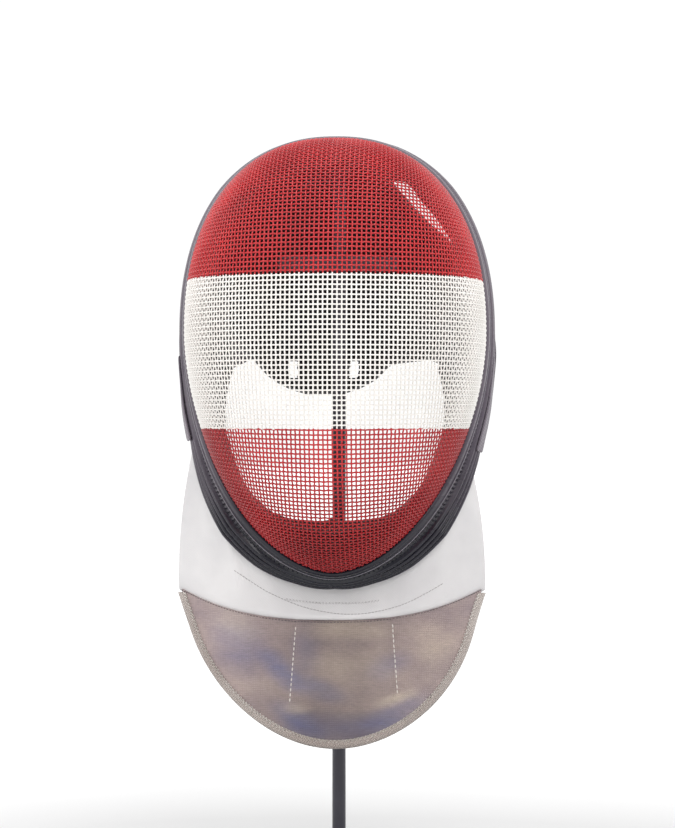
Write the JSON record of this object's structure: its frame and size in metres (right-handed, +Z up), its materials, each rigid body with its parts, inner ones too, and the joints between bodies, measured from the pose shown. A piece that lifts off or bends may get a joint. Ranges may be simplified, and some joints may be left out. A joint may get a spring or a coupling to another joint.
{
  "type": "fencing mask on a display stand",
  "caption": "Fencing mask with painted wire face, rubber rim, conductive bib, padded tongue and elastic back strap, on a plain post stand.",
  "frame": {"origin": "middle of the underside of the stand's base", "axes": "+Z up, the mask looks toward -Y, +X is to the right of someone who faces the mask"},
  "size_m": [0.236, 0.2474, 0.5042],
  "materials": {
    "wire_paint": "satin paint, red above and below a white band",
    "black_rubber": "semi-gloss moulded band",
    "dark_padding": "matt padded cloth",
    "dark_elastic": "woven elastic",
    "spring_steel": "dark",
    "white_cloth": "smooth heavy cloth",
    "conductive_cloth": "woven with metal thread",
    "edge_tape": "folded tape with zigzag stitch",
    "stand_paint": "satin dark grey"
  },
  "bodies": {
    "root": {"mesh_dome": "wire_paint", "rim_trim": "black_rubber", "liner": "dark_padding", "tongue": "dark_padding", "tongue_spring": "spring_steel", "back_strap": "dark_elastic", "strap_tab_left": "dark_elastic", "strap_tab_right": "dark_elastic", "bib_upper": "white_cloth", "bib_lame": "conductive_cloth", "bib_binding": "edge_tape", "stand_post": "stand_paint", "stand_crossbar": "stand_paint", "stand_base": "stand_paint"}
  },
  "joints": []
}
